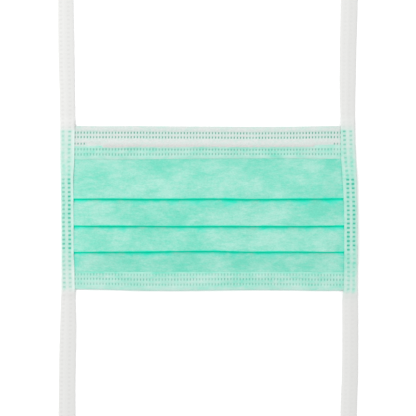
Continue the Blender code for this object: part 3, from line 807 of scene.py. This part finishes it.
def make_wire(material):
    """The flat wire in its white coat, inside the nose band."""
    low_y = NOSE_EDGE - WIRE_FROM_EDGE - WIRE_WIDTH
    base = BAND_CLOTH + AIR
    far, high = WIRE_WIDTH - WIRE_ROUND, WIRE_THICKNESS - WIRE_ROUND
    corners = [(far, high), (WIRE_ROUND, high), (WIRE_ROUND, WIRE_ROUND), (far, WIRE_ROUND)]
    ring = []
    for index, (across, up) in enumerate(corners):
        ring += arc((low_y + across, base + up), WIRE_ROUND, index * math.pi / 2, math.pi / 2,
                    WIRE_CORNER_STEPS)
    x = np.linspace(-WIRE_LENGTH / 2, WIRE_LENGTH / 2, WIRE_SECTIONS)
    grid_x = np.repeat(x[:, None], len(ring), axis=1)
    y, z = (np.broadcast_to(row, grid_x.shape) for row in np.array(ring).T)
    points = np.stack([grid_x, y + wave(grid_x, y), z], axis=-1)
    place = np.arange(grid_x.size).reshape(grid_x.shape)
    after = np.roll(place, -1, axis=1)
    sides = np.stack([place[:-1], after[:-1], after[1:], place[1:]], axis=-1).reshape(-1, 4)
    faces = [*sides.tolist(), place[0, ::-1].tolist(), place[-1].tolist()]
    return make_mesh("wire_strip", points, faces, [material])


def held_height(y):
    """The top of the pressed margin that a strap holds at a Y, with its air."""
    band = TOP_HEIGHTS[1].max() + HOLD_ROOM + BAND_CLOTH
    nose_side = ease((NOSE_EDGE - TOP_BAND - y) / (FIRST_PLEAT - TOP_BAND - PLEAT_DEPTH))
    chin_side = ease((y - CHIN_EDGE - BOTTOM_BAND) / (PLEAT_LINES[-1] - CHIN_EDGE - BOTTOM_BAND))
    raised = np.minimum(nose_side, chin_side)
    stack = band + ((2 * FOLD_OUTSIDE + fold_height()) * HOLD_SPARE - band) * raised
    return STRAP_CLOTH + AIR + SIDE_PRESS * stack + 2 * AIR


def edge_sink(y):
    """How far a strap's inner edge settles between the folds, where the cloth lies low."""
    lines = [NOSE_EDGE - TOP_BAND, *PLEAT_LINES, CHIN_EDGE + BOTTOM_BAND]
    total = np.zeros(np.shape(y))
    for above, below in zip(lines, lines[1:]):
        share = np.clip((above - y) / (above - below), 0, 1)
        start = SINK_UNDER_BAND if above is lines[0] else SINK_UNDER_FOLD
        total = total + ease(share / start) * (1 - share) * (share < 1)
    return EDGE_SINK * total


def make_tie(side, materials):
    """A strap: one strip folded over the mask's side, and shut on itself past the corners."""
    first, pitch, looks = DOT_FIRST[side], DOT_PITCH[side], STRAP_LOOKS[side]
    y = repeat_columns(first, pitch, DOT_ALONG, -STRAP_END, STRAP_END)
    outer, inner = tie_edges(side, y)
    outer = outer - side * STRAP_INSET
    width = np.abs(outer - inner) - STRAP_INSET
    on_mask = ease((NOSE_EDGE + SETTLE_FROM - np.abs(y)) / SETTLE_RAMP)
    held = held_height(np.clip(y, CHIN_EDGE, NOSE_EDGE))
    shut = STRAP_CLOTH + AIR
    rise = shut + (held - shut) * on_mask
    show = LEFT_SHOW if side < 0 else RIGHT_SHOW
    columns = [table_at(SHOW_PLACES, show[at], y / MM) * MM for at in ("outer_at", "inner_at")]
    fixed = [column + step for column in columns for step in DOT_ACROSS]
    between = (columns[0] + columns[1]) / 2
    fixed.insert(len(DOT_ACROSS), between)
    base = STRAP_CLOTH / 2
    reach = np.minimum(rise / 2, BEND_REACH)
    start = reach + FIRST_COLUMN
    fixed = [np.maximum(place, start + COLUMN_STEP * index) for index, place in enumerate(fixed)]
    flat = np.full_like(y, base)
    spots = [(place, flat, 0.0) for place in (width - LOWER_INSET, *reversed(fixed), reach)]
    for angle in np.linspace(0, math.pi, BEND_PLACES)[1:-1]:
        spots.append((reach * (1 - math.sin(angle)), base + rise / 2 * (1 - math.cos(angle)),
                      min(1.0, angle * 2 / math.pi)))
    spots += [(place, base + rise, 1.0) for place in (reach, *fixed)]
    sink = edge_sink(y)
    for share, sagging, sinking in EDGE_SPOTS:
        sag = sagging * EDGE_SAG * on_mask + sinking * sink
        spots.append((fixed[-1] + (width - fixed[-1]) * share, base + rise - sag, 1.0))
    from_outer = np.stack([spot[0] for spot in spots])
    z = np.stack([spot[1] for spot in spots])
    upper = np.broadcast_to(np.array([spot[2] for spot in spots])[:, None], from_outer.shape)
    grid_y = np.broadcast_to(y, from_outer.shape)
    along = soft_box((grid_y - first + pitch / 2) % pitch - pitch / 2, DOT_LENGTH / 2, DOT_SOFT)
    dot, stripe, darkness = np.zeros((3, *from_outer.shape))
    for column, name in zip(columns, ("outer", "inner")):
        away = from_outer - column
        dot = np.maximum(dot, along * soft_box(away, DOT_WIDTH / 2, DOT_SIDE_SOFT))
        by_column = np.exp(-((away / STRIPE_HALF) ** 2))
        darkness = np.where(by_column > stripe, table_at(SHOW_PLACES, show[name], y / MM), darkness)
        stripe = np.maximum(stripe, by_column)
    dot = dot * (from_outer >= reach)
    puff = STRAP_PUFF * soft_box(from_outer - between, PUFF_HALF, PUFF_SOFT) * upper * (1 - on_mask)
    swell = 1 + cloud(grid_y * 0, grid_y, RIPPLE_SIZE, seed=side * 4.4)
    ripple = RIPPLE * swell * (1 - on_mask)
    x = outer - side * from_outer
    by_bend = ease((from_outer - start) / BEND_SOFT)
    height = z + puff + ripple - DOT_DEPTH * dot * upper * by_bend * (FREE_DOT + (1 - FREE_DOT) * on_mask)
    middle = np.stack([x, grid_y, height], axis=-1)
    thickness = STRAP_CLOTH * (1 - EDGE_THIN * ease(1 - (width - from_outer) / THIN_WIDTH))
    thickness = thickness * weld_thin(dot, upper)
    shown = table_at(SHOW_PLACES, show["green"], y / MM)
    over = np.clip(shown / FULL_COVER, 0, 1)
    patchy = cloud(x, grid_y, PATCH_SIZE, seed=side * 2.6)
    inside_edge = ease(1 - (width - from_outer) / INSIDE_FADE)
    outside_edge = ease(1 - from_outer / OUTSIDE_FADE)
    tint = shown + over * (PATCH_GREEN * patchy - looks["inside"] * inside_edge
                           - looks["outside"] * outside_edge
                           + stripe * (STRIPE_GREEN + STRIPE_WELD * darkness))
    tilt = SHADE_ACROSS * (x - np.minimum(outer, inner)) / width + looks["below"] * (grid_y < 0)
    marks = {
        "green": np.clip(tint, 0, 1) * upper,
        "weld": np.clip(dot * darkness * (1 + PATCH_WELD * patchy), 0, 1) * weld_show(upper),
        "shade": np.clip(tilt * (1 - SHADE_OVER * over) + looks["all"], 0, 1),
        "dip": dot * (1 - over * upper) * looks["dip"],
        # Painted light: the pale inner edge.
        "pale": looks["pale"] * inside_edge * over * upper,
    }
    name, flip = ("tie_strap_left", ()) if side < 0 else ("tie_strap_right", 0)
    return thick_sheet(name, middle, thickness, marks, materials, flip)


class Nodes:
    """Short calls for building a material's node tree."""

    def __init__(self, name, roughness, sheen, gloss=GLOSS):
        self.material = bpy.data.materials.new(name)
        self.material.use_nodes = True
        self.tree = self.material.node_tree
        self.shader = self.tree.nodes["Principled BSDF"]
        self.feed(self.shader, {"Roughness": roughness, "Sheen Weight": sheen,
                                "Sheen Roughness": SHEEN_ROUGHNESS, "Specular IOR Level": gloss})

    def feed(self, node, values):
        """Gives a node's inputs numbers, colours, marks of the mesh by name, or other nodes' outputs."""
        for key, value in values.items():
            named = [s for s in node.inputs if s.name == key and s.enabled]
            socket = named[0] if named else node.inputs[key]
            if isinstance(value, str):
                value = self.made("ShaderNodeAttribute", {}, "Fac", attribute_name=value)
            if isinstance(value, (int, float)):
                socket.default_value = value
            elif isinstance(value, tuple):
                socket.default_value = (*value, 1) if socket.type == "RGBA" else value
            else:
                self.tree.links.new(value, socket)

    def made(self, kind, inputs, output=None, **settings):
        """The named or first output of a new node that is fed these inputs."""
        node = self.tree.nodes.new(kind)
        for key, value in settings.items():
            setattr(node, key, value)
        self.feed(node, inputs)
        return node.outputs[output] if output else [s for s in node.outputs if s.enabled][0]

    def noise(self, scale, stretch=(1, 1, 1), turn=0.0, detail=3.0, roughness=0.55, offset=0.0):
        """Noise in metres over the object: the scale is patches per metre."""
        place = self.made("ShaderNodeTexCoord", {}, "Object")
        mapped = self.made("ShaderNodeMapping", {"Vector": place, "Scale": stretch,
                                                 "Rotation": (0, 0, turn),
                                                 "Location": (offset, offset, 0)})
        return self.made("ShaderNodeTexNoise", {"Vector": mapped, "Scale": scale, "Detail": detail,
                                                "Roughness": roughness})

    def spread(self, value, low, high, to_low=0.0, to_high=1.0):
        return self.made("ShaderNodeMapRange", {"Value": value, "From Min": low, "From Max": high,
                                                "To Min": to_low, "To Max": to_high})

    def math(self, operation, first, second):
        return self.made("ShaderNodeMath", {0: first, 1: second}, operation=operation)

    def mix(self, share, first, second):
        return self.made("ShaderNodeMix", {"Factor": share, "A": first, "B": second}, data_type="RGBA")

    def grained(self, colour, depth):
        """The colour with a fine grain, up to a depth darker."""
        grain = self.noise(GRAIN, (0.8, 1.2, 1), detail=1, offset=0.9)
        return self.mix(self.spread(grain, *MIDDLE, 0.0, depth), colour, BLACK)

    def threaded(self, white, threads, dull=DULL):
        """White cloth, a little duller between its threads."""
        return self.mix(self.spread(threads, *THREADS), tuple(value * dull for value in white), white)

    def bump(self, height, strength, distance, **below):
        return self.made("ShaderNodeBump", {"Height": height, "Strength": strength,
                                            "Distance": distance, **below})

    def finish(self, colour, normal):
        self.feed(self.shader, {"Base Color": colour, "Normal": normal})
        return self.material


def fibres(nodes):
    """The bump of spun fibres: three stretched noises that cross each other, over soft bond points."""
    first, second, third = [nodes.noise(scale, stretch, turn=turn, detail=2, offset=offset)
                            for scale, stretch, turn, offset in FIBRES]
    crossing = nodes.math("MAXIMUM", nodes.math("MAXIMUM", first, second), third)
    soft = nodes.bump(nodes.noise(260, detail=2), *BOND_BUMP)
    return nodes.bump(crossing, *FIBRE_BUMP, Normal=soft), crossing


def green_cloth():
    """Green spunbond: cloudy where the fibres lie thicker, and deep green inside the folds, partly
    painted shade, with painted light where the folds shade the cloth.
    """
    nodes = Nodes("green_non_woven", roughness=0.85, sheen=0.03, gloss=GREEN_GLOSS)
    clouds = nodes.noise(48, (0.8, 1.2, 1), detail=5, roughness=0.68)
    patches = nodes.noise(420, (0.55, 1.4, 1), roughness=0.7, offset=0.4)
    normal, threads = fibres(nodes)
    thin = nodes.spread(clouds, 0.34, 0.66)
    speck = nodes.spread(patches, *MIDDLE, -0.3, 0.3)
    thread = nodes.spread(threads, 0.5, 0.8, -0.18, 0.18)
    share = nodes.math("ADD", nodes.math("ADD", thin, speck), thread)
    toned = nodes.math("ADD", share, "tone")
    colour = nodes.grained(nodes.mix(toned, GREEN_DENSE, GREEN_THIN), GREEN_GRAIN)
    mottle = nodes.spread(patches, *MIDDLE, 0.45, 1.5)
    depth = nodes.math("POWER", "fold_green_and_shade", mottle)
    # Painted light lifts the cloth by the folds, then the layers' deep green with painted shade, then the
    # core.
    by_fold = nodes.math("MULTIPLY", "fold_green_and_shade", FOLD_LIGHT_SHARE)
    painted_lift = nodes.mix(by_fold, colour, FOLD_PAINTED_LIGHT)
    fading = nodes.mix(depth, painted_lift, GREEN_DEEP_AND_SHADE)
    fold_green_and_shade = nodes.mix(nodes.spread(depth, 0.6, 1.0), fading, GREEN_FOLD_CORE_PAINTED)
    return nodes.finish(fold_green_and_shade, normal)


def band_cloth():
    """White non-woven over the green: how much green shows, and the welds, come from the mesh."""
    nodes = Nodes("turned_lining", roughness=0.8, sheen=0.12)
    clouds = nodes.noise(110, (0.8, 1.15, 1), detail=4, roughness=0.6, offset=0.2)
    normal, threads = fibres(nodes)
    under = nodes.mix(nodes.spread(clouds, 0.34, 0.66), GREEN_DENSE, GREEN_THIN)
    plain = nodes.threaded(WHITE, threads, BAND_DULL)
    # Painted shade: a warm grey line over the wire, where the mesh marks it.
    wire_shaded = nodes.grained(nodes.mix("wire_shaded", plain, WIRE_SHADE_WHITE), BAND_GRAIN)
    speck = nodes.spread(nodes.noise(560, (0.7, 1.3, 1), detail=2, offset=0.5), *MIDDLE, -0.16, 0.16)
    cover = nodes.mix(nodes.math("ADD", "green", speck), wire_shaded, under)
    lit = nodes.mix(nodes.math("MULTIPLY", "pale", PALE_SHARE), cover, PALE_MINT)
    welded = nodes.mix("weld", lit, BAND_WELD)
    return nodes.finish(welded, normal)


def strap_cloth():
    """White non-woven strip, with grey weld dots past the mask and green ones over it."""
    nodes = Nodes("white_strap", roughness=0.8, sheen=0.12)
    clouds = nodes.noise(140, (1.2, 0.7, 1), detail=4, roughness=0.6)
    normal, threads = fibres(nodes)
    plain = nodes.threaded(STRAP_WHITE, threads)
    shaded = nodes.mix("shade", plain, STRAP_MOTTLE_AND_SHADE_GREY)
    mottled = nodes.mix(nodes.spread(clouds, 0.35, 0.65, 0.12, 0.0), shaded, STRAP_MOTTLE_AND_SHADE_GREY)
    dotted = nodes.mix("dip", mottled, DIP_GREY)
    speck = nodes.spread(nodes.noise(480, detail=2, offset=0.6), *MIDDLE, 0.7, 1.3)
    cover = nodes.mix(nodes.math("MULTIPLY", "green", speck), dotted, GREEN_UNDER)
    # Painted light: a pale mint along the left strap's inner edge.
    lit = nodes.mix("pale", cover, INNER_EDGE_PAINTED_LIGHT)
    welded = nodes.mix("weld", lit, WELD_GREEN)
    return nodes.finish(welded, normal)


def lining_cloth():
    """The white lining."""
    nodes = Nodes("white_lining", roughness=0.85, sheen=0.12)
    normal, threads = fibres(nodes)
    return nodes.finish(nodes.threaded(LINING, threads), normal)


def wire_coat():
    """The wire's white coat."""
    nodes = Nodes("wire_coat", roughness=0.5, sheen=0.0)
    colour = nodes.mix(nodes.noise(400), tuple(value * 0.94 for value in WIRE_WHITE), WIRE_WHITE)
    return nodes.finish(colour, nodes.bump(nodes.noise(700), *WIRE_BUMP))


def make_stage():
    """A wide white table top."""
    points = TABLE_HALF * np.array([(-1, -1, 0), (1, -1, 0), (1, 1, 0), (-1, 1, 0)], float)
    nodes = Nodes("table_white", roughness=0.9, sheen=0.0, gloss=0.0)
    nodes.feed(nodes.shader, {"Base Color": FLOOR})
    table = make_mesh("table", points, [(0, 1, 2, 3)], [nodes.material])
    table.location.z = -TABLE_DROP


def light_scene():
    """A white surround, and one large lamp above and to the left."""
    world = bpy.data.worlds.new("studio")
    world.use_nodes = True
    world.node_tree.nodes["Background"].inputs["Color"].default_value = (1, 1, 1, 1)
    world.node_tree.nodes["Background"].inputs["Strength"].default_value = SURROUND
    bpy.context.scene.world = world
    light = bpy.data.lights.new("key", "AREA")
    light.shape = "SQUARE"
    light.size = LAMP_SIZE
    light.energy = LAMP_WATTS
    lamp = bpy.data.objects.new("key", light)
    lamp.location = LAMP_PLACE
    lamp.rotation_euler = (-Vector(LAMP_PLACE)).to_track_quat("-Z", "Y").to_euler()
    bpy.context.scene.collection.objects.link(lamp)
    bpy.context.scene.view_settings.view_transform = "Standard"


def add_camera():
    """Straight above the mask, with a long lens."""
    camera = bpy.data.cameras.new("camera")
    camera.sensor_width = SENSOR
    camera.lens = SENSOR * CAMERA_HEIGHT / VIEW_WIDTH
    camera.clip_end = VIEW_DEPTH
    eye = bpy.data.objects.new("camera", camera)
    eye.location = (VIEW_SHIFT, 0, CAMERA_HEIGHT)
    bpy.context.scene.collection.objects.link(eye)
    bpy.context.scene.camera = eye


def dress():
    """Makes every piece, and says what it rides on and replaces."""
    lining, band, strap = lining_cloth(), band_cloth(), strap_cloth()
    body, body_length = make_body([green_cloth(), lining])
    top = make_top_band([band, lining])
    bottom = make_bottom_band([band, lining])
    wire = make_wire(wire_coat())
    left = make_tie(-1, [strap, lining])
    right = make_tie(1, [strap, lining])
    rows = [
        (body, "pleated_panel", "green_cloth"),
        (top, "top_band", "white_cloth"),
        (bottom, "bottom_band", "pale_green_cloth"),
        (wire, "nose_wire", "wire_coating"),
        (left, "tie_left", "strap_cloth"),
        (right, "tie_right", "strap_cloth"),
    ]
    for piece, node, slot in rows:
        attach(piece, "root")
        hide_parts(node)


add_camera()
light_scene()
make_stage()
dress()
